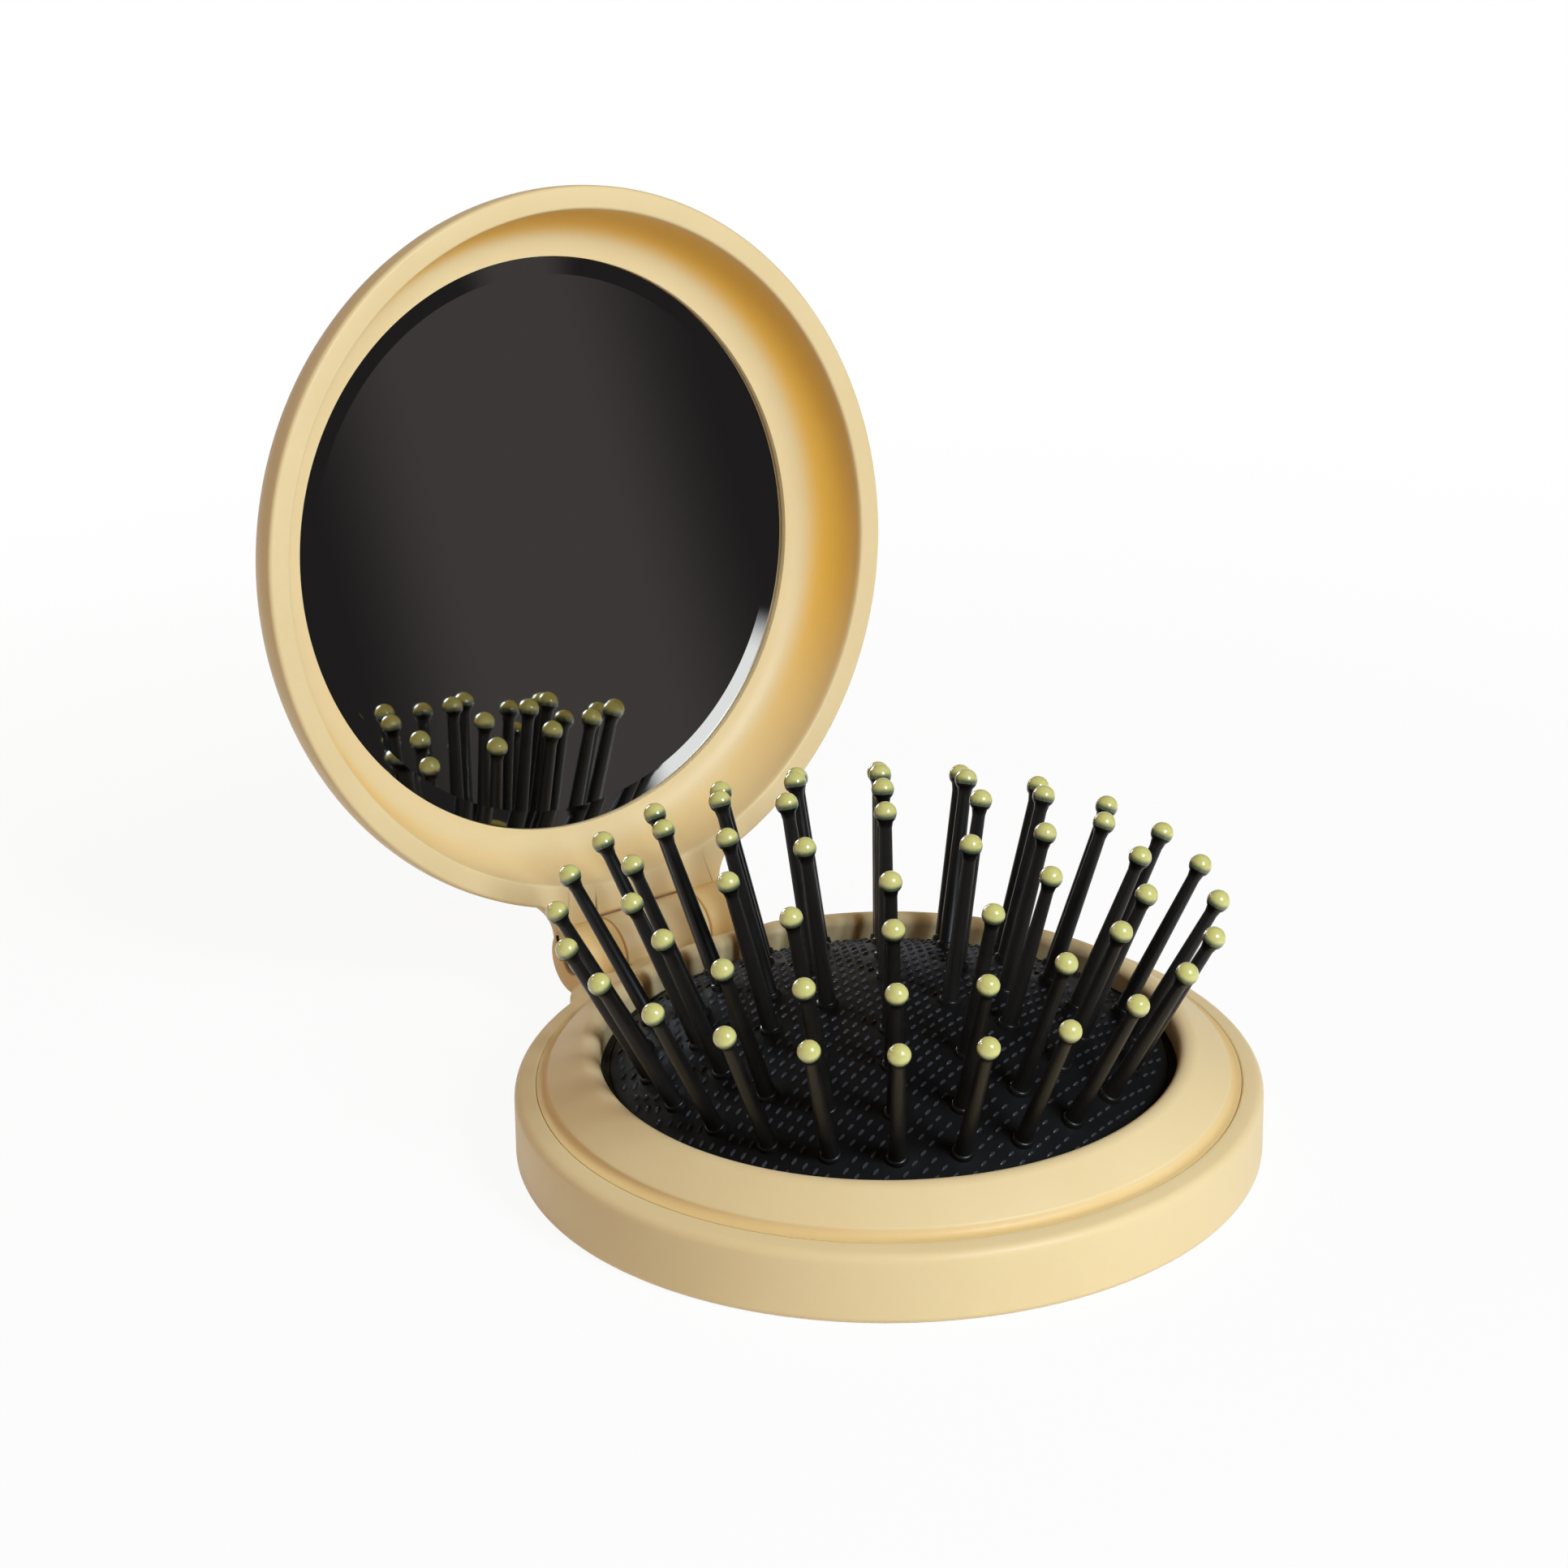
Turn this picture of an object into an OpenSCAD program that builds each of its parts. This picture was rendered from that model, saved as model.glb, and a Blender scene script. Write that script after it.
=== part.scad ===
// Round folding hairbrush with a mirror in its lid, standing open.
// Millimetres, +Z up. The origin is the centre of the base's flat underside and the hinge is at +Y.
// The lid's modules are drawn closed on the base, then turned open about the hinge.

/* [Base] */
// Outside diameter of the base and of the lid
body_d = 68; // [66:0.5:74]
// Height of the base's wall at its outer edge
base_h = 6.9; // [6.7:0.1:8]
// Thickness of the base's side wall
wall = 2; // [1.6:0.1:2.4]
// Thickness of the base's floor
base_floor = 2; // [1.5:0.1:2.2]
// Rounding of the base's bottom edge
foot_round = 0.8; // [0.3:0.1:1.4]
// Rounding of the lip at the top of the wall
lip_round = 1; // [0.5:0.1:1.3]
// Rise of the lip from its outer edge to the bezel
lip_rise = 0.3; // [0.1:0.05:0.5]
// Width of the shelf that the bezel's plug stands on
shelf_w = 0.8; // [0.5:0.1:1.2]
// Width of the boss around the press disc's flange
boss_w = 1.3; // [1:0.1:1.6]
// Height of the boss above the face that stops the flange
boss_h = 1.1; // [0.8:0.1:1.4]

/* [Bezel ring] */
// Width of the bezel from the crease to the opening that the cushion sits in
bezel_w = 5.7; // [5.2:0.1:6.1]
// Height of the bezel's crest above the base's wall
crest_rise = 3.6; // [3:0.1:4.5]
// Rounding of the crest on the side of the opening
crest_inner_round = 0.9; // [0.4:0.1:1.2]
// Rounding of the crest on the side of the slope
crest_outer_round = 1.6; // [0.8:0.1:2]
// Thickness of the bezel's slope
bezel_t = 1.6; // [1.2:0.1:1.8]
// Depth that the bezel's plug goes down inside the wall
plug_depth = 2.2; // [1.5:0.1:3]
// Height of the opening's wall above the cushion's edge
opening_wall = 2.5; // [2:0.1:3]

/* [Cushion] */
// Rise of the cushion's dome above its edge
dome_rise = 6.4; // [5:0.1:7]
// Fullness of the dome, 2 is a parabola
dome_power = 2.3; // [2:0.1:3]
// Thickness of the rubber cushion
cushion_t = 1.6; // [1.2:0.1:2]
// Thickness of the cushion's soft edge
skirt_t = 0.5; // [0.3:0.05:0.7]
// Width of the cushion's soft edge between the stiff pad and the opening
skirt_w = 0.9; // [0.8:0.05:1.2]
// Thickness of the plate under the cushion
plate_t = 1.6; // [1.2:0.1:2]

/* [Press disc] */
// Recess of the disc above the base's underside
disc_recess = 1; // [0.6:0.1:1.4]
// Thickness of the disc's floor
disc_t = 2; // [1.2:0.1:2.4]
// Thickness of the disc's sleeve
disc_sleeve_t = 1.85; // [1.5:0.05:2.5]
// Width of the flange that stops the disc on its way up
stop_w = 1.15; // [0.8:0.05:1.5]
// Thickness of that flange
stop_t = 1.2; // [0.8:0.1:1.5]
// Depth of the finger dish in the disc
dish_depth = 0.6; // [0.3:0.1:0.9]
// Diameter of the finger dish
dish_d = 38; // [24:1:44]
// Thickness of the guide sleeve around the disc
guide_t = 1.7; // [1.4:0.1:2]

/* [Bristle pins] */
// Length from the centre of a pin's foot to the centre of its tip
pin_l = 16.5; // [14:0.1:16.9]
// Diameter of a pin at its foot
pin_root_d = 1.55; // [1.2:0.05:1.8]
// Diameter of a pin at its tip
pin_tip_d = 1.2; // [0.8:0.05:1.3]
// Diameter of a pin's round foot
foot_d = 3.2; // [2.8:0.1:3.3]
// Depth of the foot's centre below the cushion's surface
foot_sink = 0.8; // [0.7:0.05:1]
// Diameter of the ball on a pin's tip
ball_d = 2.1; // [1.8:0.05:2.2]
// Height of the resin cap's edge below the ball's centre
cap_cut = 0.35; // [0.2:0.05:0.4]
// Step from the pin's tip in to the spigot that holds the cap
spigot_inset = 0.12; // [0.08:0.01:0.2]
// Height of the spigot's end above the ball's centre
spigot_rise = 0.3; // [0.2:0.05:0.4]
// Outward lean of the pins in the outermost ring, in degrees. It falls to 0 at the centre
outer_lean = 28.3; // [22:0.1:29]
// Radius of the innermost ring of pins
ring_1_r = 5.4; // [4.8:0.1:5.8]
// Place of the second ring on the way from the innermost to the outermost
ring_2_place = 0.34; // [0.31:0.01:0.37]
// Place of the third ring on the way from the innermost to the outermost
ring_3_place = 0.707; // [0.68:0.001:0.72]
// Distance from the outermost ring of pins to the edge of the opening
ring_margin = 4.4; // [4.2:0.1:4.7]

/* [Lid] */
// Thickness of the lid
lid_t = 10; // [9.6:0.1:12]
// Gap between the closed lid's rim and the base's wall
lid_gap = 0.5; // [0.4:0.1:0.8]
// Width of the flat land on the lid's rim
rim_land = 1.8; // [1.5:0.1:2.2]
// Rounding of the rim's outer edge
rim_round = 0.4; // [0.2:0.05:0.5]
// Height of the straight part of the lid's side wall
lid_wall_h = 1; // [0.6:0.1:3]
// Width of the curved shoulder between the lid's wall and its back
shoulder_w = 14.4; // [12:0.1:16]
// Depth of the recess from the rim to the ledge around the mirror
ledge_depth = 6.3; // [6.2:0.05:6.6]
// Width of the hollow between the rim and the mirror's pocket
recess_w = 4.6; // [4.4:0.1:5.7]
// Angle of the open lid, 0 is closed and 180 is flat
open_angle = 103; // [98:1:180]

/* [Mirror] */
// Thickness of the mirror glass
mirror_t = 1.5; // [1:0.1:1.5]
// Depth of the mirror's face below the ledge
mirror_sink = 0.4; // [0.2:0.05:0.5]
// Width of the bevel around the mirror
bevel_w = 1.6; // [0.8:0.1:3]
// Depth of the bevel
bevel_t = 0.3; // [0.2:0.05:0.7]
// Thickness of the adhesive disc behind the mirror
tape_t = 0.3; // [0.2:0.05:0.4]
// Distance from the adhesive disc's edge to the mirror's edge
tape_margin = 3.1; // [1.6:0.1:12]

/* [Hinge] */
// Distance of the hinge axis behind the body's outside
hinge_back = 3.9; // [3.9:0.1:4.6]
// Depth of the hinge axis below the closed lid's rim
hinge_drop = 0.9; // [0.8:0.1:1]
// Diameter of the hinge knuckles
knuckle_d = 6.6; // [6:0.1:6.8]
// Diameter of the hinge pin
hinge_pin_d = 2.5; // [2:0.1:3]
// Width of the lid's neck over both its knuckles
neck_w = 18.6; // [15:0.2:22]
// Width of the base's middle knuckle
middle_w = 9.6; // [7:0.2:11]
// Concave rounding where the neck leaves the lid's wall
neck_fillet = 4; // [1:0.1:5]
// Depth that this rounding runs into the lid's wall
neck_sink = 0.2; // [0.15:0.05:0.4]
// Width of the block on the base in front of the hinge
block_w = 27; // [24:0.5:30]
// Rounding of the block's corners
block_round = 3; // [1:0.1:3.5]
// Depth of the pin's ends below the knuckles' outer faces
pin_inset = 0.3; // [0.1:0.05:0.6]

/* [Clearances] */
// Radial clearance between parts that are fixed in each other
fit_gap = 0.1; // [0.05:0.01:0.15]
// Gap between faces that are glued or clamped on rubber
clamp_gap = 0.05; // [0.02:0.01:0.08]
// Radial clearance of the sliding press disc
slide_gap = 0.25; // [0.2:0.01:0.3]
// Clearance around the feet of the pins
foot_gap = 0.25; // [0.2:0.01:0.3]
// Radial clearance of the hinge pin in its knuckles
pin_gap = 0.05; // [0.03:0.01:0.09]
// Side clearance between the hinge knuckles
knuckle_gap = 0.2; // [0.1:0.05:0.3]
// Clearance around the middle knuckle in the lid's slot
sweep_gap = 0.3; // [0.2:0.05:0.4]
// Clearance between the block on the base and the lid's knuckles
block_gap = 0.8; // [0.7:0.05:1]

/* [Hidden] */
$fn = 96;
MID_GROUPS = 6;
OUTER_GROUPS = 8;

CREAM = "#e8d6a2";
BLACK = "#1b1a19";
GREY = "#55504b";
TIP = "#d1ce86";
STEEL = "#b9b9b6";
GLASS = "#8f9393";

// Steps of the lid's two long curves, of the small roundings and of the dome
SHOULDER_STEPS = 14;
RECESS_STEPS = 10;
ROUND_STEPS = 6;
DOME_STEPS = 10;

// Base
body_r = body_d / 2;
shell_in_r = body_r - wall;
crease_z = base_h + lip_rise;
crest_z = base_h + crest_rise;
cushion_z = crest_z - opening_wall;
shelf_z = crease_z - plug_depth;
bezel_r = shell_in_r - fit_gap;
opening_r = bezel_r - bezel_w;
guide_r = opening_r - skirt_w / 2 - clamp_gap;
disc_r = guide_r - slide_gap;
stop_r = disc_r + stop_w;
counterbore_r = stop_r + slide_gap;
counterbore_z = disc_recess + stop_t + fit_gap;
sleeve_top = cushion_z - skirt_t - 2 * clamp_gap;
boss_r = counterbore_r + boss_w;
boss_z = counterbore_z + boss_h;

// Cushion: the dome's height at radius r
function dome(r) = cushion_z + dome_rise * (1 - pow(r / opening_r, dome_power));
pad_r = opening_r - skirt_w;
pad_edge_z = dome(pad_r);
plate_drop = cushion_t + fit_gap;
plate_foot_z = pad_edge_z - plate_drop - plate_t;
function dome_line(drop) = [
    for (i = [0 : DOME_STEPS]) let (r = pad_r * i / DOME_STEPS) [r, dome(r) - drop]
];
function reversed(points) = [for (i = [len(points) - 1 : -1 : 0]) points[i]];

// Pins: the number in each ring, its radius, and the azimuth of the pin that all rings share
RING_COUNT = [4, 10, 18, 24];
PHASE = 235;
ring_4_r = opening_r - ring_margin;
RING_R = [for (place = [0, ring_2_place, ring_3_place, 1]) ring_1_r + place * (ring_4_r - ring_1_r)];
function ring_step(ring) = 360 / RING_COUNT[ring];
foot_r = foot_d / 2;
ball_r = ball_d / 2;
cap_z = pin_l - cap_cut;
spigot_r = pin_tip_d / 2 - spigot_inset;
spigot_top = pin_l + spigot_rise;

// Lid, drawn closed
lid_z = base_h + lid_gap;
rim_in_r = body_r - rim_round - rim_land;
ledge_z = lid_z + ledge_depth;
pocket_r = rim_in_r - recess_w;
mirror_r = pocket_r - fit_gap;
mirror_face_z = ledge_z + mirror_sink;
tape_z = mirror_face_z + mirror_t;
lid_floor_z = tape_z + tape_t;
lid_top_z = lid_z + lid_t;

// Hinge
hinge_y = body_r + hinge_back;
hinge_z = lid_z - hinge_drop;
knuckle_r = knuckle_d / 2;
bore_r = hinge_pin_d / 2 + pin_gap;
block_back_y = hinge_y - knuckle_r - block_gap;

// Points of an arc about [cx, cz] from angle a0 to a1
function arc(cx, cz, r, a0, a1, n) = [
    for (i = [0 : n]) let (a = a0 + (a1 - a0) * i / n) [cx + r * cos(a), cz + r * sin(a)]
];

// Angle, on the circle of radius r about centre c, where a line from point p touches it.
// Side is 1 for the touch point that lies anticlockwise of p, and -1 for the other one
function touch_angle(c, r, p, side) = let (d = p - c) atan2(d[1], d[0]) + side * acos(r / norm(d));

// Puts what is drawn lying along +Z so that it is centred on the hinge axis, along X
module on_hinge_axis(width) {
    translate([-width / 2, hinge_y, hinge_z])
        rotate([0, 90, 0])
            children();
}

module base_round_body() {
    lip = [body_r - lip_round, base_h - lip_round];
    lip_end = touch_angle(lip, lip_round, [shell_in_r, crease_z], -1);
    rotate_extrude()
        polygon(concat(
            [[counterbore_r, 0]],
            arc(body_r - foot_round, foot_round, foot_round, -90, 0, ROUND_STEPS),
            arc(lip[0], lip[1], lip_round, 0, lip_end, ROUND_STEPS),
            [
                [shell_in_r, crease_z],
                [shell_in_r, shelf_z],
                [shell_in_r - shelf_w, shelf_z],
                [shell_in_r - shelf_w, base_floor],
                [boss_r, base_floor],
                [boss_r, boss_z],
                [guide_r + guide_t, boss_z],
                [guide_r + guide_t, sleeve_top],
                [guide_r, sleeve_top],
                [guide_r, counterbore_z],
                [counterbore_r, counterbore_z]
            ]
        ));
}

// Rectangle with rounded corners, from the centre of its front edge
module rounded_block(width, depth, r) {
    union() {
        translate([-width / 2, 0])
            square([width, depth - r]);
        translate([r - width / 2, 0])
            square([width - 2 * r, depth]);
        for (side = [-1, 1])
            translate([side * (width / 2 - r), depth - r])
                circle(r, $fn = 48);
    }
}

module hinge_block() {
    block_front_y = sqrt(pow(shell_in_r, 2) - pow(block_w / 2, 2));
    linear_extrude(base_h)
        difference() {
            translate([0, block_front_y])
                rounded_block(block_w, block_back_y - block_front_y, block_round);
            circle(shell_in_r + wall / 2);
        }
}

// The base's middle knuckle, on a lug that leaves the block below the lid's neck
module middle_knuckle() {
    lug_root_y = body_r - wall / 2;
    on_hinge_axis(middle_w)
        cylinder(r = knuckle_r, h = middle_w);
    translate([-middle_w / 2, lug_root_y, hinge_z - knuckle_r])
        cube([middle_w, hinge_y - lug_root_y, knuckle_r]);
}

module base_shell() {
    color(CREAM)
        difference() {
            union() {
                base_round_body();
                hinge_block();
                middle_knuckle();
            }
            on_hinge_axis(block_w)
                cylinder(r = bore_r, h = block_w);
        }
}

// The crest's outer arc ends where a straight slope to the crease touches it
module bezel_ring() {
    inner_x = opening_r + crest_inner_round;
    outer_z = crest_z - crest_outer_round;
    touch = touch_angle([inner_x, outer_z], crest_outer_round, [bezel_r, crease_z], 1);
    crest_in_z = crest_z - crest_inner_round;
    // the underside runs parallel to the slope, through this point
    under = [inner_x, outer_z] + (crest_outer_round - bezel_t) * [cos(touch), sin(touch)];
    slope = tan(90 - touch);
    plug_in_r = bezel_r - bezel_t;
    color(CREAM)
        rotate_extrude()
            polygon(concat(
                [
                    [opening_r, cushion_z],
                    [under[0] + (under[1] - cushion_z) / slope, cushion_z],
                    [plug_in_r, under[1] - (plug_in_r - under[0]) * slope],
                    [plug_in_r, shelf_z],
                    [bezel_r, shelf_z],
                    [bezel_r, crease_z]
                ],
                arc(inner_x, outer_z, crest_outer_round, touch, 90, ROUND_STEPS),
                arc(inner_x, crest_in_z, crest_inner_round, 90 + 90 / ROUND_STEPS, 180, ROUND_STEPS - 1)
            ));
}

module cushion_skirt() {
    in_r = pad_r + clamp_gap;
    flange_z = sleeve_top + clamp_gap;
    roll_r = guide_r - clamp_gap;
    color(BLACK)
        rotate_extrude()
            polygon([
                [in_r, flange_z],
                [guide_r + guide_t, flange_z],
                [guide_r + guide_t, flange_z + skirt_t],
                [roll_r, flange_z + skirt_t],
                [in_r, pad_edge_z - clamp_gap]
            ]);
}

module push_button() {
    dish_r = dish_d / 2;
    sphere_r = (pow(dish_r, 2) + pow(dish_depth, 2)) / (2 * dish_depth);
    half = asin(dish_r / sphere_r);
    color(CREAM)
        rotate_extrude()
            polygon(concat(
                arc(0, disc_recess + dish_depth - sphere_r, sphere_r, 90, 90 - half, ROUND_STEPS),
                [
                    [stop_r, disc_recess],
                    [stop_r, disc_recess + stop_t],
                    [disc_r, disc_recess + stop_t],
                    [disc_r, plate_foot_z],
                    [disc_r - disc_sleeve_t, plate_foot_z],
                    [disc_r - disc_sleeve_t, disc_recess + disc_t],
                    [0, disc_recess + disc_t]
                ]
            ));
}

// Moves children to the centre of a pin's foot, leaning with the pin. Rings count from 0
module at_pin(ring, index) {
    rotate([0, 0, PHASE + index * ring_step(ring)])
        translate([RING_R[ring], 0, dome(RING_R[ring]) - foot_sink])
            rotate([0, outer_lean * RING_R[ring] / ring_4_r, 0])
                children();
}

module foot_sockets() {
    for (ring = [0 : len(RING_COUNT) - 1])
        for (index = [0 : RING_COUNT[ring] - 1])
            at_pin(ring, index)
                sphere(foot_r + foot_gap, $fn = 24);
}

module pin_plate() {
    foot_in_r = disc_r - disc_sleeve_t;
    under = dome_line(plate_drop + plate_t);
    color(GREY)
        difference() {
            rotate_extrude()
                polygon(concat(
                    dome_line(plate_drop),
                    [[pad_r, plate_foot_z], [foot_in_r, plate_foot_z]],
                    [for (p = reversed(under)) if (p[0] < foot_in_r) p]
                ));
            foot_sockets();
        }
}

module cushion_pad() {
    color(BLACK)
        difference() {
            rotate_extrude()
                polygon(concat(dome_line(0), reversed(dome_line(cushion_t))));
            foot_sockets();
        }
}

// One pin: a round foot, a tapered shaft, the ball's lower part, and a spigot in the resin cap
module pin() {
    union() {
        sphere(foot_r, $fn = 24);
        cylinder(h = pin_l - ball_r / 2, r1 = pin_root_d / 2, r2 = pin_tip_d / 2, $fn = 16);
        difference() {
            translate([0, 0, pin_l])
                sphere(ball_r, $fn = 24);
            translate([0, 0, cap_z])
                cylinder(h = ball_d, r = ball_d);
        }
        cylinder(h = spigot_top, r = spigot_r, $fn = 16);
    }
}

module ball_tip() {
    difference() {
        translate([0, 0, pin_l])
            sphere(ball_r, $fn = 24);
        cylinder(h = cap_z, r = ball_d);
        cylinder(h = spigot_top + clamp_gap, r = spigot_r + clamp_gap, $fn = 16);
    }
}

module pins(ring, first, last) {
    color(BLACK)
        for (index = [first : last])
            at_pin(ring, index)
                pin();
}

module tips(ring, first, last) {
    color(TIP)
        for (index = [first : last])
            at_pin(ring, index)
                ball_tip();
}

// First pin of a group of three: group 1 is centred on the azimuth that all rings share
function first_of(group) = 3 * (group - 1) - 1;

module hinge_pin() {
    pin_w = neck_w - 2 * pin_inset;
    color(STEEL)
        on_hinge_axis(pin_w)
            cylinder(d = hinge_pin_d, h = pin_w);
}

// Turns what is drawn on the closed lid open about the hinge
module opened() {
    translate([0, hinge_y, hinge_z])
        rotate([-open_angle, 0, 0])
            translate([0, -hinge_y, -hinge_z])
                children();
}

module lid_round_body() {
    back_h = lid_t - lid_wall_h;
    shoulder = [
        for (i = [0 : SHOULDER_STEPS]) let (a = 90 * i / SHOULDER_STEPS)
            [body_r - shoulder_w + shoulder_w * cos(a), lid_z + lid_wall_h + back_h * sin(a)]
    ];
    recess = [
        for (i = [0 : RECESS_STEPS]) let (a = 90 * i / RECESS_STEPS)
            [pocket_r + recess_w * sin(a), lid_z + ledge_depth * cos(a)]
    ];
    rotate_extrude()
        polygon(concat(
            [[0, lid_floor_z], [pocket_r, lid_floor_z]],
            recess,
            arc(body_r - rim_round, lid_z + rim_round, rim_round, -90, 0, ROUND_STEPS),
            shoulder,
            [[0, lid_top_z]]
        ));
}

// The neck in plan, with a concave fillet on each side where it meets the round wall
module neck_plan() {
    half = neck_w / 2;
    seat_r = body_r - neck_sink;
    fillet_x = half + neck_fillet;
    fillet_y = sqrt(pow(seat_r + neck_fillet, 2) - pow(fillet_x, 2));
    root_y = body_r - rim_land;
    overlap = 1;
    touch = seat_r / (seat_r + neck_fillet);
    translate([-half, root_y])
        square([neck_w, hinge_y - root_y]);
    for (side = [-1, 1])
        difference() {
            polygon([
                [side * (half - overlap), fillet_y],
                [side * fillet_x, fillet_y],
                [side * fillet_x * touch, fillet_y * touch],
                [side * (half - overlap), root_y - overlap]
            ]);
            translate([side * fillet_x, fillet_y])
                circle(neck_fillet, $fn = 48);
        }
}

module lid_neck() {
    neck_top_z = hinge_z + knuckle_r;
    difference() {
        translate([0, 0, lid_z])
            linear_extrude(neck_top_z - lid_z)
                neck_plan();
        translate([0, 0, lid_z])
            cylinder(r = body_r - rim_land / 2, h = lid_t);
    }
    on_hinge_axis(neck_w)
        cylinder(r = knuckle_r, h = neck_w);
}

module lid_shell() {
    middle_slot_w = middle_w + 2 * knuckle_gap;
    color(CREAM)
        opened()
            difference() {
                union() {
                    lid_round_body();
                    lid_neck();
                }
                on_hinge_axis(middle_slot_w)
                    cylinder(r = knuckle_r + sweep_gap, h = middle_slot_w);
                on_hinge_axis(block_w)
                    cylinder(r = bore_r, h = block_w);
            }
}

module mirror_glass() {
    color(GLASS)
        opened()
            rotate_extrude()
                polygon([
                    [0, mirror_face_z],
                    [mirror_r - bevel_w, mirror_face_z],
                    [mirror_r, mirror_face_z + bevel_t],
                    [mirror_r, tape_z],
                    [0, tape_z]
                ]);
}

module mirror_tape() {
    color(GREY)
        opened()
            translate([0, 0, tape_z])
                cylinder(r = mirror_r - tape_margin, h = tape_t);
}

base_shell();
bezel_ring();
cushion_skirt();
push_button();
pin_plate();
cushion_pad();
pins(0, 0, RING_COUNT[0] - 1);  // pins_ring_1
tips(0, 0, RING_COUNT[0] - 1);  // tips_ring_1
pins(1, 0, RING_COUNT[1] - 1);  // pins_ring_2
tips(1, 0, RING_COUNT[1] - 1);  // tips_ring_2
for (g = [1 : MID_GROUPS]) {
    pins(2, first_of(g), first_of(g) + 2);
    tips(2, first_of(g), first_of(g) + 2);
}
for (g = [1 : OUTER_GROUPS]) {
    pins(3, first_of(g), first_of(g) + 2);
    tips(3, first_of(g), first_of(g) + 2);
}
hinge_pin();
lid_shell();
mirror_glass();
mirror_tape();
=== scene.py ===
# Round folding hairbrush with a mirror in its lid, standing open.
# Shapes are worked out in millimetres, in the part's own frame, and put into the meshes in metres.
import math

import bmesh
import bpy
import numpy as np
from mathutils import Matrix, Vector


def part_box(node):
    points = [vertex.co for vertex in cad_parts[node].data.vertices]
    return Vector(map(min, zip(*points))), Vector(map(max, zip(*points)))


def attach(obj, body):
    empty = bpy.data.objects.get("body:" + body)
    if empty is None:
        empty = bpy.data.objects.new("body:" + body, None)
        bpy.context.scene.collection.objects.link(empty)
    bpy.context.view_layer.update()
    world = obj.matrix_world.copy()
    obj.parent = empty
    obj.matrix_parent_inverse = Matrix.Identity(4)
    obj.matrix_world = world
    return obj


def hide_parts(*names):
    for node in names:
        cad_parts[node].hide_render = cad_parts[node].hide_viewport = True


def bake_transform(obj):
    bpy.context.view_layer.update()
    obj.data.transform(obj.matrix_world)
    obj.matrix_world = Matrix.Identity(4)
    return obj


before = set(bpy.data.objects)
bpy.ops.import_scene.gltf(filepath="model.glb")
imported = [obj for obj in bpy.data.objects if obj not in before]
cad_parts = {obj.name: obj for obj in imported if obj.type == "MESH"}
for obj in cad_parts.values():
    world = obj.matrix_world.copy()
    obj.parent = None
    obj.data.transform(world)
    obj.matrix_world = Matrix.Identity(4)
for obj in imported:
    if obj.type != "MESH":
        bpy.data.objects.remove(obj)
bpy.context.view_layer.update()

scene = bpy.context.scene
scene.view_settings.view_transform = "Standard"
MM = 0.001

# --- Camera ------------------------------------------------------------------------------
# A long lens about half a metre away, from the front left of the brush and a little above it.
CAMERA_AZIMUTH = math.radians(-36.712)
CAMERA_ELEVATION = math.radians(25.667)
CAMERA_ROLL = math.radians(-0.267)
CAMERA_TARGET = Vector((0, 0, 20)) * MM
CAMERA_DISTANCE = 534.08 * MM
SENSOR_WIDTH = 36
FOCAL_LENGTH = 136.48
CAMERA_SHIFT = (-0.06658, 0.1036)

back = Vector((
    math.sin(CAMERA_AZIMUTH) * math.cos(CAMERA_ELEVATION),
    -math.cos(CAMERA_AZIMUTH) * math.cos(CAMERA_ELEVATION),
    math.sin(CAMERA_ELEVATION),
))
level_right = Vector((math.cos(CAMERA_AZIMUTH), math.sin(CAMERA_AZIMUTH), 0))
level_up = back.cross(level_right)
right = math.cos(CAMERA_ROLL) * level_right + math.sin(CAMERA_ROLL) * level_up
up = back.cross(right)
lens = bpy.data.cameras.new("long_lens")
lens.sensor_width = SENSOR_WIDTH
lens.lens = FOCAL_LENGTH
lens.shift_x, lens.shift_y = CAMERA_SHIFT
lens.clip_start, lens.clip_end = 0.01, 20
camera = bpy.data.objects.new("camera", lens)
scene.collection.objects.link(camera)
camera.matrix_world = Matrix.Translation(CAMERA_TARGET + CAMERA_DISTANCE * back) @ Matrix(
    (right, up, back)
).transposed().to_4x4()
scene.camera = camera

# --- Base shell --------------------------------------------------------------------------
# The round tub of the base, injection moulded in cream ABS. Its wall swells into a block in front
# of the hinge, and a lug on it carries the hinge's middle knuckle. A sleeve inside guides the disc.
BODY_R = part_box("base_shell")[1].x / MM
BASE_H = 6.9
WALL = 2.0
FOOT_ROUND = 0.8
LIP_ROUND = 1.0
LIP_RISE = 0.3
PLUG_DEPTH = 2.2
SHELF_W = 0.8
FLOOR_T = 2.0
OPENING_R = 26.2
SKIRT_W = 0.9
RUBBER_GAP = 0.05
GUIDE_R = OPENING_R - SKIRT_W / 2 - RUBBER_GAP
GUIDE_T = 1.7
DISC_RECESS = 1.0
DISC_GAP = 0.25
DISC_R = GUIDE_R - DISC_GAP
STOP_R = DISC_R + 1.15
STOP_T = 1.2
COUNTERBORE_R = STOP_R + DISC_GAP
COUNTERBORE_Z = DISC_RECESS + STOP_T + 0.1
CREST_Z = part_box("bezel_ring")[1].z / MM
OPENING_WALL = 2.5
CUSHION_Z = CREST_Z - OPENING_WALL
LID_GAP = 0.5
LID_Z = BASE_H + LID_GAP
HINGE_Y = BODY_R + 3.9
HINGE_Z = LID_Z - 0.9
KNUCKLE_R = 3.3
PIN_R = 1.25
BORE_R = PIN_R + 0.05
NECK_W = 18.6
MIDDLE_W = 9.6
BLOCK_W = 27.0
BLOCK_ROUND = 3.0
BLOCK_BACK_Y = HINGE_Y - KNUCKLE_R - 0.8
BLOCK_BLEND = 1.2
KNUCKLE_LIMIT_Y = HINGE_Y - KNUCKLE_R - 0.55
ROUND_STEPS = 120


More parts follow.
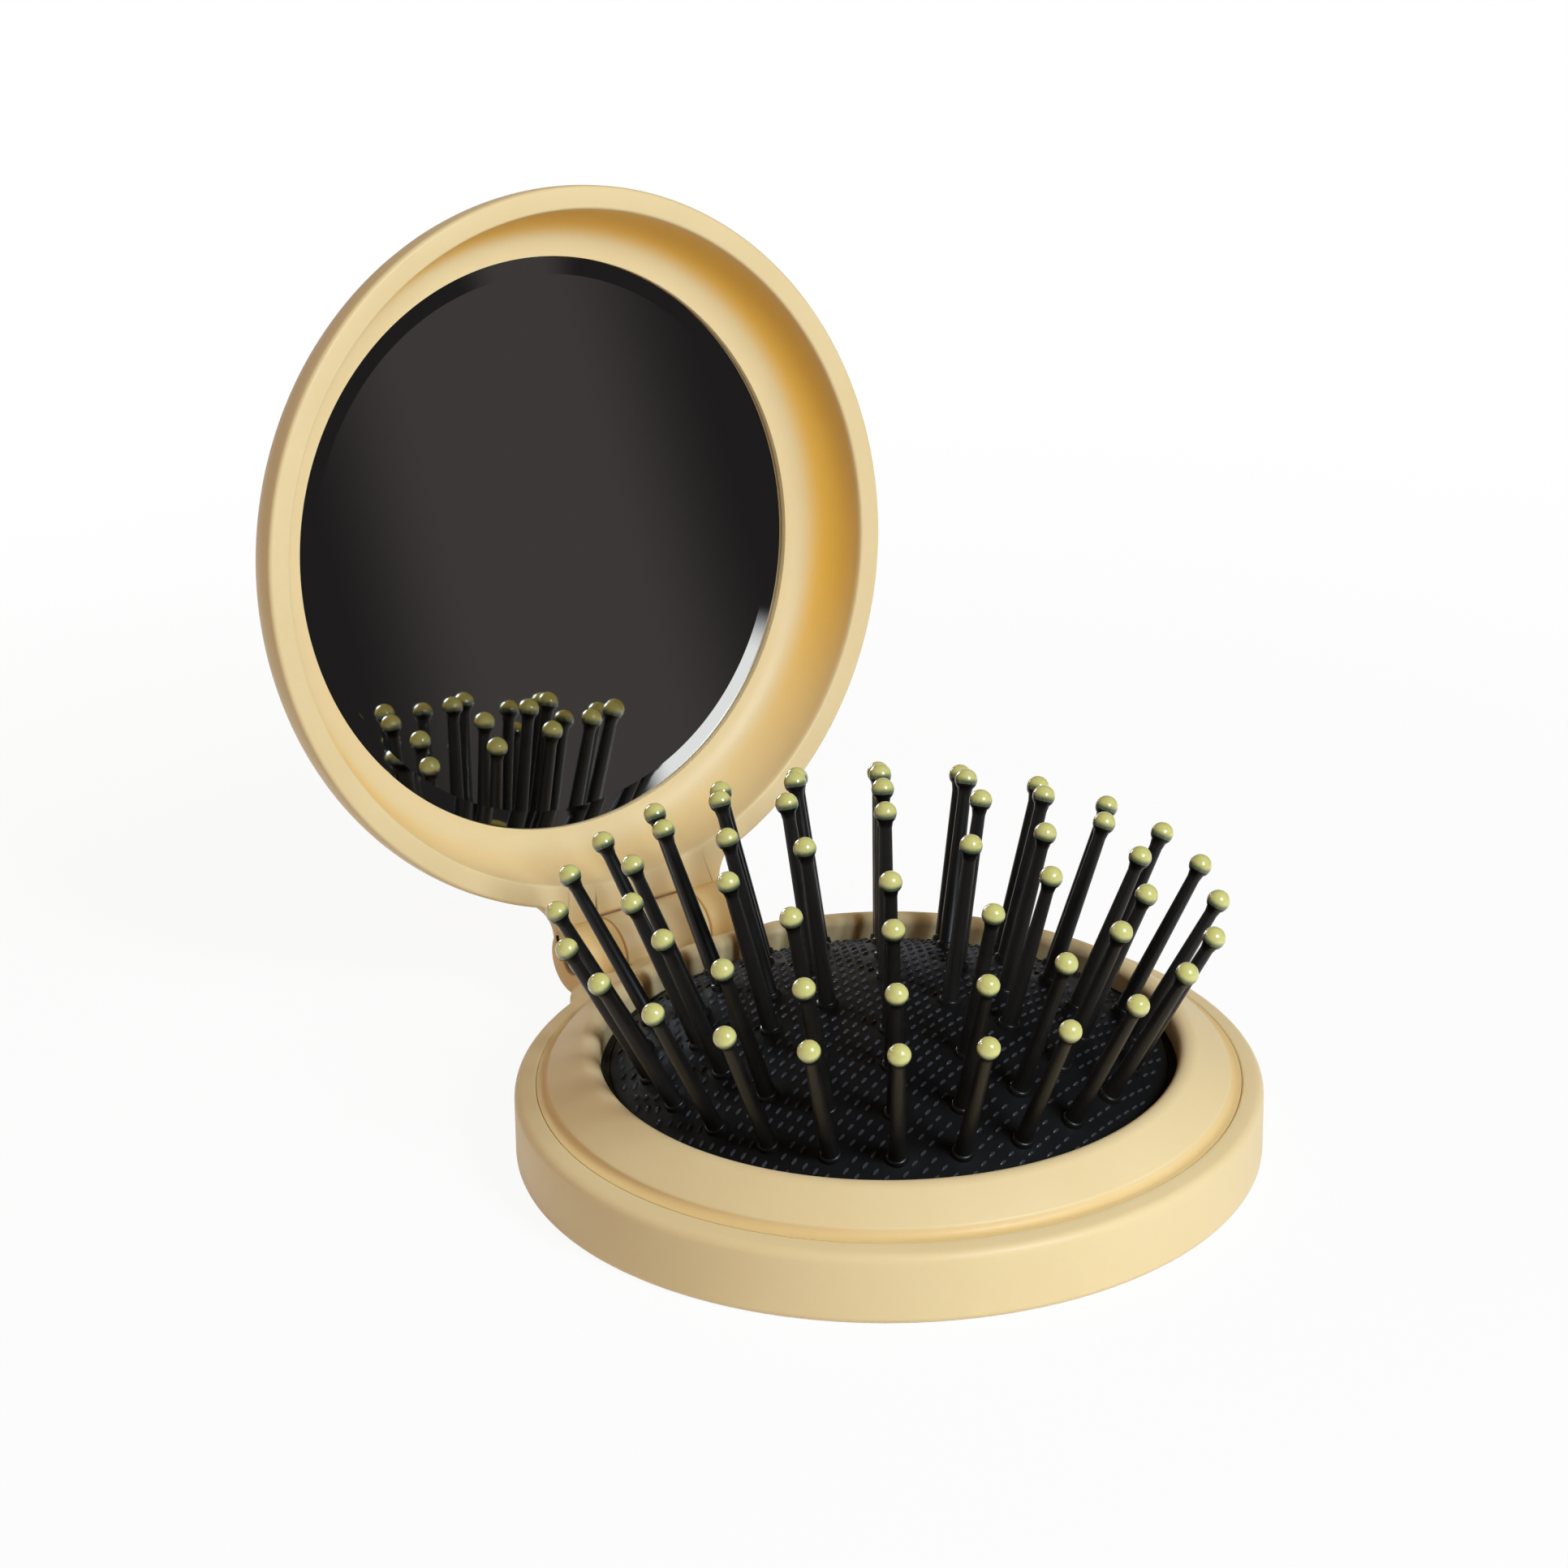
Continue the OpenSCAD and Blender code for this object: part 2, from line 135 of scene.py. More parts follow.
def linear(hex_colour):
    """An sRGB hex colour as linear RGBA."""
    srgb = np.array([int(hex_colour[i:i + 2], 16) for i in (1, 3, 5)]) / 255
    rgb = np.where(srgb <= 0.04045, srgb / 12.92, ((srgb + 0.055) / 1.055) ** 2.4)
    return (*rgb.tolist(), 1.0)


def add_node(tree, kind, inputs=(), **settings):
    """Adds a shader node. Settings are its properties. Inputs pair a socket's name or number with
    its value, or with the output socket to link to it."""
    node = tree.nodes.new("ShaderNode" + kind)
    for name, value in settings.items():
        setattr(node, name, value)
    for name, value in dict(inputs).items():
        if isinstance(value, bpy.types.NodeSocket):
            tree.links.new(value, node.inputs[name])
        else:
            node.inputs[name].default_value = value
    return node


def new_material(name, sockets):
    """A material with one Principled shader, whose sockets are set by name. Returns the material,
    its node tree and its shader."""
    material = bpy.data.materials.new(name)
    material.use_nodes = True
    shader = material.node_tree.nodes["Principled BSDF"]
    for socket, value in sockets.items():
        shader.inputs[socket].default_value = value
    return material, material.node_tree, shader


def smooth(value, low, high):
    """0 below low, 1 above high, and a smooth step between them."""
    t = np.clip((value - low) / (high - low), 0, 1)
    return t * t * (3 - 2 * t)


def arc(centre_r, centre_z, radius, start_deg, end_deg, steps):
    """Points (r, z) along an arc: centre plus radius times (cos a, sin a)."""
    a = np.radians(np.linspace(start_deg, end_deg, steps + 1))
    return np.stack([centre_r + radius * np.cos(a), centre_z + radius * np.sin(a)], -1)


def touch_deg(centre, radius, point, side):
    """Angle in degrees, on the circle about the centre, where a line from the point touches it: the
    one anticlockwise of the point for side 1, and the other one for side -1."""
    gap = np.subtract(point, centre)
    return math.degrees(math.atan2(gap[1], gap[0]) + side * math.acos(radius / np.linalg.norm(gap)))


def shell(points, close_rows):
    """Points on a grid [row, column] and the quads between neighbours. Columns run round and close,
    and the rows do too if close_rows is true. Otherwise the first and last rows are poles."""
    rows, columns = points.shape[:2]
    row = np.arange(rows if close_rows else rows - 1)[:, None]
    column = np.arange(columns)[None, :]
    far_row = (row + 1) % rows
    far_column = (column + 1) % columns
    corners = (
        row * columns + column,
        row * columns + far_column,
        far_row * columns + far_column,
        far_row * columns + column,
    )
    return points.reshape(-1, 3), np.stack(corners, -1).reshape(-1, 4)


def turned(profile, columns=2 * ROUND_STEPS, close_rows=False):
    """A profile of (r, z) turned about +Z: the point at angle t is (r cos t, r sin t, z)."""
    t = np.linspace(0, 2 * np.pi, columns, endpoint=False)
    r, z = np.asarray(profile, float).T[:, :, None]
    return shell(np.stack([r * np.cos(t), r * np.sin(t), z + 0 * t], -1), close_rows)


def walled(profile, share, angle, outline, wall_r):
    """A closed profile of (r, z) carried round the angles measured from +Y. At share 0 a point
    stays on its circle. At share 1 it lies wall_r - r inside the outline, along its normal. The
    outline is one row of points for the whole profile, or a row for each of its points."""
    along = np.roll(outline, -1, -2) - np.roll(outline, 1, -2)
    normal = np.stack([-along[..., 1], along[..., 0]], -1)
    normal /= np.linalg.norm(normal, axis=-1, keepdims=True)
    circle = np.stack([np.sin(angle), np.cos(angle)], -1)
    r, z = np.asarray(profile, float).T[:, :, None, None]
    share = np.asarray(share, float)[:, None, None]
    plan = share * (outline - (wall_r - r) * normal) + (1 - share) * r * circle
    height = np.broadcast_to(z, plan.shape[:2] + (1,))
    return shell(np.concatenate([plan, height], -1), True)


def both_sides(angle, half):
    """A half outline from angle 0 to 180 degrees, and its mirror image back to 0."""
    flipped = half[..., -2:0:-1, :] * [-1, 1]
    return np.concatenate([angle, 2 * np.pi - angle[-2:0:-1]]), np.concatenate([half, flipped], -2)


def knuckle(x_low, x_high, outline, edge):
    """A tube along X on the hinge axis. Its section is the outline, in Y and Z from the axis, less
    a little where its end edges are rounded, and its bore is a circle."""
    reach = np.linalg.norm(outline, axis=1, keepdims=True)
    bore = outline / reach * BORE_R
    rounding = [(0, 1), (0.3, 0.3), (1, 0)]
    near = [(x_low + edge * along, outline * (1 - edge * inset / reach)) for along, inset in rounding]
    far = [(x_low + x_high - x, section) for x, section in reversed(near)]
    sections = [(x_low, bore), *near, *far, (x_high, bore)]
    points = np.stack([
        np.concatenate([np.full((len(plan), 1), x), plan + [HINGE_Y, HINGE_Z]], -1)
        for x, plan in sections
    ])
    return shell(points, True)


def build(name, shells, material, edge_deg=32, marks=None):
    """Puts whole arrays of points in mm and faces into one mesh, merges the points that meet at
    seams and poles, turns its faces outwards and marks edges over edge_deg as sharp. Marks are one
    number for each point, kept as the attribute "mark" for the material."""
    starts = np.cumsum([0] + [len(points) for points, _ in shells[:-1]])
    points = np.concatenate([points for points, _ in shells])
    faces = np.concatenate([quads + start for (_, quads), start in zip(shells, starts)])
    mesh = bpy.data.meshes.new(name)
    mesh.from_pydata(points * MM, [], faces)
    if marks is not None:
        mesh.attributes.new("mark", "FLOAT", "POINT").data.foreach_set("value", marks)
    merged = bmesh.new()
    merged.from_mesh(mesh)
    bmesh.ops.remove_doubles(merged, verts=merged.verts, dist=0.0005 * MM)
    bmesh.ops.recalc_face_normals(merged, faces=merged.faces)
    merged.to_mesh(mesh)
    merged.free()
    mesh.shade_smooth()
    mesh.set_sharp_from_angle(angle=math.radians(edge_deg))
    mesh.materials.append(material)
    piece = bpy.data.objects.new(name, mesh)
    scene.collection.objects.link(piece)
    return piece


def clouded(tree, size, detail, colours, rough=None):
    """Soft clouds of noise, size mm across, between two hex colours. Where rough is given, a
    roughness runs between its two values over the middle of the same noise. Returns the sockets of
    the colour and of the roughness, which is None without rough."""
    place = add_node(tree, "TexCoord").outputs["Object"]
    clouds = add_node(tree, "TexNoise", {
        "Vector": place, "Scale": 1 / (size * MM), "Detail": detail,
    }).outputs[0]
    dark, pale = map(linear, colours)
    colour = add_node(tree, "Mix", {0: clouds, 6: dark, 7: pale}, data_type="RGBA").outputs[2]
    if rough is None:
        return colour, None
    roughness = add_node(tree, "MapRange", {
        "Value": clouds, "From Min": 0.3, "From Max": 0.7, "To Min": rough[0], "To Max": rough[1],
    }).outputs[0]
    return colour, roughness


def grained(tree, shader, size, depth, strength):
    """A fine even grain as a bump on the shader, size mm across and depth mm deep."""
    place = add_node(tree, "TexCoord").outputs["Object"]
    grain = add_node(tree, "TexNoise", {
        "Vector": place, "Scale": 1 / (size * MM), "Detail": 2.0,
    }).outputs[0]
    bump = add_node(tree, "Bump", {"Height": grain, "Strength": strength, "Distance": depth * MM})
    tree.links.new(bump.outputs[0], shader.inputs["Normal"])


# Cream ABS from a satin-finished mould: a soft broad sheen, a faint mottle in the pigment, a fine
# even grain, and a little warm light that passes under the skin. Light that comes through a thin
# wall or stays in a corner turns amber, and that amber is painted into the base colour: those places
# are marked up to 1.
cream, tree, shader = new_material("moulded_cream_abs", {
    "IOR": 1.54,
    "Specular IOR Level": 0.25,
    "Subsurface Weight": 0.3,
    "Subsurface Radius": (1.0, 0.6, 0.3),
    "Subsurface Scale": 0.8 * MM,
})
pigment, satin = clouded(tree, size=11, detail=3.0, colours=("#e9cf9a", "#eed7a6"), rough=(0.4, 0.5))
# The mark mixes painted amber into the base colour, standing in for light through thin walls and in
# corners
painted_amber_share = add_node(tree, "Attribute", attribute_name="mark").outputs["Fac"]
painted_amber_mix = add_node(tree, "Mix", {0: painted_amber_share, 6: pigment, 7: linear("#f6bf52")}, data_type="RGBA")
tree.links.new(painted_amber_mix.outputs[2], shader.inputs["Base Color"])
tree.links.new(satin, shader.inputs["Roughness"])
grained(tree, shader, size=0.35, depth=0.03, strength=0.12)

# The block's outline in plan, as a distance from the centre: its flat back, then its round corner,
# then its side. It flows into the round wall, and stays short of the lid's knuckles.
half_angle = np.radians(np.concatenate([np.linspace(0, 30, 91), np.linspace(31.5, 180, 100)]))
corner = np.array([BLOCK_W / 2 - BLOCK_ROUND, BLOCK_BACK_Y - BLOCK_ROUND])
corner_far = np.linalg.norm(corner)
corner_angle = math.atan2(corner[0], corner[1])
swing = half_angle - corner_angle
corner_reach = corner_far * np.cos(swing) + np.sqrt(
    np.maximum(BLOCK_ROUND ** 2 - (corner_far * np.sin(swing)) ** 2, 0)
)
back_end = math.atan2(corner[0], BLOCK_BACK_Y)
side_start = math.atan2(BLOCK_W / 2, corner[1])
near_block = np.clip(half_angle, 0.01, np.pi / 4)
block_reach = np.where(
    half_angle < back_end,
    BLOCK_BACK_Y / np.cos(near_block),
    np.where(half_angle < side_start, corner_reach, BLOCK_W / 2 / np.sin(near_block)),
)
overlap = np.maximum(BLOCK_BLEND - np.abs(block_reach - BODY_R), 0) / BLOCK_BLEND
reach = np.maximum(block_reach, BODY_R) + overlap ** 2 * BLOCK_BLEND / 4
reach = np.where(half_angle < back_end, np.minimum(reach, KNUCKLE_LIMIT_Y / np.cos(near_block)), reach)
base_outline = reach[:, None] * np.stack([np.sin(half_angle), np.cos(half_angle)], -1)

CREASE_Z = BASE_H + LIP_RISE
SHELL_IN_R = BODY_R - WALL
LIP_IN_ROUND = 0.2
lip_end = touch_deg((BODY_R - LIP_ROUND, BASE_H - LIP_ROUND), LIP_ROUND, (SHELL_IN_R, CREASE_Z), -1)
SLEEVE_TOP = CUSHION_Z - 0.6
BOSS_R = COUNTERBORE_R + 1.3
BOSS_Z = COUNTERBORE_Z + 1.1
BORE_CHAMFER = 0.2
LIP_IN_DROP = 0.26
BLOCK_FADE_W = 1.2
KNUCKLE_EDGE = 0.25
base_profile = np.concatenate([
    [[COUNTERBORE_R, BORE_CHAMFER], [COUNTERBORE_R + BORE_CHAMFER, 0]],
    arc(BODY_R - FOOT_ROUND, FOOT_ROUND, FOOT_ROUND, -90, 0, 6),
    arc(BODY_R - LIP_ROUND, BASE_H - LIP_ROUND, LIP_ROUND, 0, lip_end, 8),
    arc(SHELL_IN_R + LIP_IN_ROUND, CREASE_Z - LIP_IN_DROP, LIP_IN_ROUND, lip_end, 180, 6),
    [
        [SHELL_IN_R, CREASE_Z - PLUG_DEPTH],
        [SHELL_IN_R - SHELF_W, CREASE_Z - PLUG_DEPTH],
        [SHELL_IN_R - SHELF_W, FLOOR_T],
        [BOSS_R, FLOOR_T],
        [BOSS_R, BOSS_Z],
        [GUIDE_R + GUIDE_T, BOSS_Z],
        [GUIDE_R + GUIDE_T, SLEEVE_TOP],
        [GUIDE_R, SLEEVE_TOP],
        [GUIDE_R, COUNTERBORE_Z],
        [COUNTERBORE_R, COUNTERBORE_Z],
    ],
])
base_share = smooth(base_profile[:, 0], SHELL_IN_R, SHELL_IN_R + BLOCK_FADE_W)
tub = walled(base_profile, base_share, *both_sides(half_angle, base_outline), BODY_R)

# The middle knuckle's section: three quarters of a circle, and the lug below it
round_part = arc(0, 0, KNUCKLE_R, -90, 180, 40)
lug_reach = HINGE_Y - BODY_R + WALL / 2
middle_section = np.concatenate([round_part, [[-lug_reach, 0], [-lug_reach, -KNUCKLE_R]]])
middle = knuckle(-MIDDLE_W / 2, MIDDLE_W / 2, middle_section, KNUCKLE_EDGE)
base_shell = build("moulded_base", [tub, middle], cream)
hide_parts("base_shell")
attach(base_shell, "base")

# --- Bezel ring --------------------------------------------------------------------------
# The raised ring around the cushion, moulded in the same cream ABS. Its plug snaps down inside the
# wall, its slope ends in a small cove there, and its inner edge clamps the cushion's soft rim.
BEZEL_R = SHELL_IN_R - 0.03
BEZEL_T = 1.6
CREST_IN_ROUND = 0.9
CREST_OUT_ROUND = 1.6
SLOPE_END_R = 30.85
SLOPE_END_ROUND = 0.35
COVE_Z = CREASE_Z - 0.1
CREASE_IN = 0.1
CREASE_PAINTED_AMBER = 0.28
CREASE_PAINTED_AMBER_H = 0.7
crest_r = OPENING_R + CREST_IN_ROUND
crest_out_z = CREST_Z - CREST_OUT_ROUND
crease_r = SHELL_IN_R - CREASE_IN
slope_deg = touch_deg((crest_r, crest_out_z), CREST_OUT_ROUND, (crease_r, CREASE_Z), 1)
slope_normal = np.array([math.cos(math.radians(slope_deg)), math.sin(math.radians(slope_deg))])
fall = slope_normal[0] / slope_normal[1]
under = np.array([crest_r, crest_out_z]) + (CREST_OUT_ROUND - BEZEL_T) * slope_normal
plug_in_r = BEZEL_R - BEZEL_T
slope_end = np.array([SLOPE_END_R, CREASE_Z + (crease_r - SLOPE_END_R) * fall])
edge_r, edge_z = slope_end - SLOPE_END_ROUND * slope_normal
cove_round = edge_z - COVE_Z
bezel_profile = np.concatenate([
    [
        [OPENING_R, CUSHION_Z],
        [under[0] + (under[1] - CUSHION_Z) / fall, CUSHION_Z],
        [plug_in_r, under[1] - (plug_in_r - under[0]) * fall],
        [plug_in_r, CREASE_Z - PLUG_DEPTH],
        [BEZEL_R, CREASE_Z - PLUG_DEPTH],
        [BEZEL_R, COVE_Z],
    ],
    arc(edge_r + SLOPE_END_ROUND + cove_round, edge_z, cove_round, 270, 180, 8),
    arc(edge_r, edge_z, SLOPE_END_ROUND, 10, slope_deg, 4),
    arc(crest_r, crest_out_z, CREST_OUT_ROUND, slope_deg, 90, 10),
    arc(crest_r, CREST_Z - CREST_IN_ROUND, CREST_IN_ROUND, 96, 180, 10),
])
# Painted amber at the foot of the slope, fading upwards from the crease, stands in for the shade and
# warm bounced light in the cove
crease_painted_amber = CREASE_PAINTED_AMBER * (1 - smooth(bezel_profile[:, 1], CREASE_Z, CREASE_Z + CREASE_PAINTED_AMBER_H))
bezel = build(
    "moulded_bezel", [turned(bezel_profile, close_rows=True)], cream,
    marks=np.repeat(crease_painted_amber, 2 * ROUND_STEPS),
)
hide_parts("bezel_ring")
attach(bezel, "base")

# --- Press disc --------------------------------------------------------------------------
# The disc in the underside that carries the cushion, cream ABS with a shallow finger dish. Its
# flange stops it against the base on the way up.
DISC_T = 2.0
DISC_SLEEVE_T = 1.85
DISH_R = 19.0
DISH_DEPTH = 0.6
STOP_ROUND = 0.3
disc_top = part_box("push_button")[1].z / MM
dish_sphere_r = (DISH_R ** 2 + DISH_DEPTH ** 2) / (2 * DISH_DEPTH)
dish_half = math.degrees(math.asin(DISH_R / dish_sphere_r))
disc_profile = np.concatenate([
    arc(0, DISC_RECESS + DISH_DEPTH - dish_sphere_r, dish_sphere_r, 90, 90 - dish_half, 12),
    arc(STOP_R - STOP_ROUND, DISC_RECESS + STOP_ROUND, STOP_ROUND, -90, 0, 4),
    [
        [STOP_R, DISC_RECESS + STOP_T],
        [DISC_R, DISC_RECESS + STOP_T],
        [DISC_R, disc_top],
        [DISC_R - DISC_SLEEVE_T, disc_top],
        [DISC_R - DISC_SLEEVE_T, DISC_RECESS + DISC_T],
        [0, DISC_RECESS + DISC_T],
    ],
])
disc = build("moulded_press_disc", [turned(disc_profile)], cream, edge_deg=20)
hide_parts("push_button")
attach(disc, "carrier")

# --- Rubber cushion ----------------------------------------------------------------------
# The domed pad that the pins stand in, moulded in black rubber. Its face is covered in rows of
# short raised dashes, which stop where the pins come through small swellings.
DOME_RISE = 6.4
DOME_POWER = 2.3
CUSHION_T = 1.6
PAD_R = OPENING_R - SKIRT_W
PAD_EDGE_W = 0.25
PAD_EDGE = ((0.07, 0.02), (0, 0.12), (0, CUSHION_T))
PAD_UNDER_W = 0.6
RING_COUNT = (4, 10, 18, 24)
RING_1_R = 5.4
RING_4_R = OPENING_R - 4.4
RING_R = RING_1_R + (RING_4_R - RING_1_R) * np.array([0, 0.34, 0.707, 1])
PHASE = 235
SWELL_H = 0.12
SWELL_TOP_R = 0.9
SWELL_R = 2.1


def dome(r):
    """Height of the cushion's face: its rise falls off as the distance from the centre, over the
    opening's radius, to the dome's power."""
    return CUSHION_Z + DOME_RISE * (1 - (r / OPENING_R) ** DOME_POWER)


def ring_azimuth(ring):
    """Azimuths of the pins in a ring, evenly spaced from the one that all rings share."""
    return np.radians(PHASE + np.arange(RING_COUNT[ring]) * 360 / RING_COUNT[ring])


pin_places = np.concatenate([
    r * np.stack([np.cos(ring_azimuth(ring)), np.sin(ring_azimuth(ring))], -1)
    for ring, r in enumerate(RING_R)
])


def face_height(plan):
    """The dome, plus a smooth swelling around each pin that falls to nothing at SWELL_R."""
    near = np.linalg.norm(plan[..., None, :] - pin_places, axis=-1).min(-1)
    return dome(np.linalg.norm(plan, axis=-1)) + SWELL_H * (1 - smooth(near, SWELL_TOP_R, SWELL_R))


# The pad is a face, then the points of its rounded edge, as insets and drops, then an even
# underside, carried round together
turn = np.linspace(0, 2 * np.pi, 400, endpoint=False)
face_r = np.linspace(0, PAD_R - PAD_EDGE_W, 68)
face_plan = face_r[:, None, None] * np.stack([np.cos(turn), np.sin(turn)], -1)
face_points = np.concatenate([face_plan, face_height(face_plan)[..., None]], -1)
edge_inset, edge_drop = np.transpose(PAD_EDGE)
under_r = np.linspace(PAD_R - PAD_UNDER_W, 0, 24)
rest_r = np.concatenate([PAD_R - edge_inset, under_r])
rest_z = np.concatenate([dome(PAD_R) - edge_drop, dome(under_r) - CUSHION_T])
rest_points = np.stack([
    rest_r[:, None] * np.cos(turn), rest_r[:, None] * np.sin(turn), rest_z[:, None] + 0 * turn
], -1)
pad = shell(np.concatenate([face_points, rest_points]), False)

# Each dash is a small half-buried grain: rings of points along its length, whose width and height
# follow a circle, laid on the dome's own slope. The rows cross the pad at DASH_TURN.
DASH_PITCH = (1.32, 1.14)
DASH_HALF = (0.47, 0.16, 0.22)
DASH_TURN = math.radians(18)
DASH_CLEAR = 1.7
DASH_EDGE_GAP = 0.7
count = int(PAD_R / min(DASH_PITCH)) + 1
lattice_u, lattice_v = np.meshgrid(np.arange(-count, count + 1), np.arange(-count, count + 1))
u = lattice_u * DASH_PITCH[0]
v = lattice_v * DASH_PITCH[1]
dash_places = np.stack([
    u * math.cos(DASH_TURN) - v * math.sin(DASH_TURN),
    u * math.sin(DASH_TURN) + v * math.cos(DASH_TURN),
], -1).reshape(-1, 2)
dash_r = np.linalg.norm(dash_places, axis=-1)
pin_gap = np.linalg.norm(dash_places[:, None] - pin_places, axis=-1).min(-1)
dash_places = dash_places[(dash_r < PAD_R - DASH_EDGE_GAP) & (pin_gap > DASH_CLEAR)]
dash_r = np.linalg.norm(dash_places, axis=-1)
slope = -DOME_RISE * DOME_POWER / OPENING_R * (dash_r / OPENING_R) ** (DOME_POWER - 1)
outward = dash_places / np.maximum(dash_r, 1e-6)[:, None]
normal = np.concatenate([-slope[:, None] * outward, np.ones((len(dash_r), 1))], -1)
normal /= np.linalg.norm(normal, axis=1, keepdims=True)
length_axis = np.array([math.cos(DASH_TURN), math.sin(DASH_TURN), 0])
length_axis = length_axis - normal * (normal @ length_axis)[:, None]
length_axis /= np.linalg.norm(length_axis, axis=1, keepdims=True)
width_axis = np.cross(normal, length_axis)
along = np.cos(np.linspace(0, np.pi, 5))[:, None]
around = np.linspace(0, 2 * np.pi, 6, endpoint=False)[None, :]
girth = np.sqrt(1 - along ** 2)
grain_points = np.stack([
    DASH_HALF[0] * along + 0 * around,
    DASH_HALF[1] * girth * np.cos(around),
    DASH_HALF[2] * girth * np.sin(around),
], -1)
axes = np.stack([length_axis, width_axis, normal], 1)
centres = np.concatenate([dash_places, face_height(dash_places)[:, None]], -1)
dash_points = centres[:, None, None] + np.einsum("rck,nkx->nrcx", grain_points, axes)
dashes = [shell(points, False) for points in dash_points]

# Black rubber: very dark with a dull, even sheen, roughened by a fine grain from the mould. The
# dashes, marked 1, are glossy and painted a paler grey, a painted glint that stands in for the
# light they catch.
rubber, tree, shader = new_material("moulded_black_rubber", {
    "IOR": 1.5,
    "Specular IOR Level": 0.2,
})
soot, dull = clouded(tree, size=6, detail=4.0, colours=("#0c0b0b", "#151413"), rough=(0.5, 0.6))
raised = add_node(tree, "Attribute", attribute_name="mark").outputs["Fac"]
# Painted glint: the dashes' paler grey stands in for the light they catch
painted_dash_glint = add_node(tree, "Mix", {0: raised, 6: soot, 7: linear("#3c3c41")}, data_type="RGBA")
tree.links.new(painted_dash_glint.outputs[2], shader.inputs["Base Color"])
DASH_ROUGHNESS = 0.16
polish = add_node(tree, "Mix", {0: raised, 2: dull, 3: DASH_ROUGHNESS}, data_type="FLOAT")
tree.links.new(polish.outputs[0], shader.inputs["Roughness"])
grained(tree, shader, size=0.25, depth=0.03, strength=0.3)

dash_marks = np.repeat([0.0, 1.0], [len(pad[0]), dash_points[..., 0].size])
cushion = build("rubber_cushion", [pad, *dashes], rubber, edge_deg=60, marks=dash_marks)
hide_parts("cushion_pad")
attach(cushion, "carrier")

# --- Cushion's soft edge -----------------------------------------------------------------
# The thin rim of the rubber, clamped under the bezel and stretched when the pad is drawn down.
SKIRT_T = 0.3
SKIRT_OUT_R = OPENING_R - RUBBER_GAP
SKIRT_BEND_R = GUIDE_R - RUBBER_GAP
SKIRT_IN_R = PAD_R + RUBBER_GAP
SKIRT_TOP_Z = dome(PAD_R) - RUBBER_GAP
skirt_profile = [
    [SKIRT_OUT_R, CUSHION_Z - 0.02],
    [SKIRT_BEND_R, CUSHION_Z],
    [SKIRT_IN_R, SKIRT_TOP_Z],
    [SKIRT_IN_R, SKIRT_TOP_Z - SKIRT_T],
    [SKIRT_BEND_R, CUSHION_Z - SKIRT_T],
    [SKIRT_OUT_R, CUSHION_Z - SKIRT_T],
]
skirt = build("rubber_edge", [turned(skirt_profile, close_rows=True)], rubber, edge_deg=60)
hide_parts("cushion_skirt")
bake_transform(skirt)

# --- Plate under the cushion -------------------------------------------------------------
# A grey moulded plate, hidden inside, that the pins' feet stand on.
plate_grey, tree, shader = new_material("moulded_grey_polypropylene", {"Roughness": 0.55})
tint, _ = clouded(tree, size=5, detail=3.0, colours=("#4c4844", "#5a554f"))
tree.links.new(tint, shader.inputs["Base Color"])
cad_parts["pin_plate"].material_slots[0].material = plate_grey

# --- Bristle pins ------------------------------------------------------------------------
# Black nylon pins on four rings. Each has a round foot under the rubber with a collar that stands
# out of it, a shaft that tapers upwards, and a flared head that is the underside of its ball.
PIN_L = 16.5
PIN_ROOT_R = 0.775
PIN_TIP_R = 0.6
OUTER_LEAN = math.radians(28.3)
FOOT_R = 1.6
COLLAR_R = 1.0
COLLAR_TOP = 1.4
COLLAR_ROUND = 0.25
FOOT_NECK = (COLLAR_R + 0.1, 0.5)
FOOT_SINK = 0.8
SHAFT_LAP = 0.05
BALL_R = 1.05
BALL_NECK_H = 0.35
BALL_NECK_DEG = 8
CAP_CUT = 0.35
CAP_SEAT_R = BALL_R - 0.12
CAP_EDGE_R = BALL_R - 0.1
GROUP_SIZE = 3
PIN_COLUMNS = 20


def pin_shells(profile, ring, indices):
    """The profile turned about each pin's own line: an upright shape is leaned outwards by an angle
    that grows with the ring's radius, moved to the foot's centre and turned to its azimuth."""
    points, faces = turned(profile, PIN_COLUMNS)
    lean = OUTER_LEAN * RING_R[ring] / RING_4_R
    azimuth = math.radians(PHASE) + np.asarray(indices) * 2 * np.pi / RING_COUNT[ring]
    x, y, z = points.T
    outward = RING_R[ring] + x * math.cos(lean) + z * math.sin(lean)
    height = dome(RING_R[ring]) - FOOT_SINK - x * math.sin(lean) + z * math.cos(lean)
    turned_x = outward * np.cos(azimuth)[:, None] - y * np.sin(azimuth)[:, None]
    turned_y = outward * np.sin(azimuth)[:, None] + y * np.cos(azimuth)[:, None]
    placed = np.stack([turned_x, turned_y, np.broadcast_to(height, turned_x.shape)], -1)
    return [(points, faces) for points in placed]


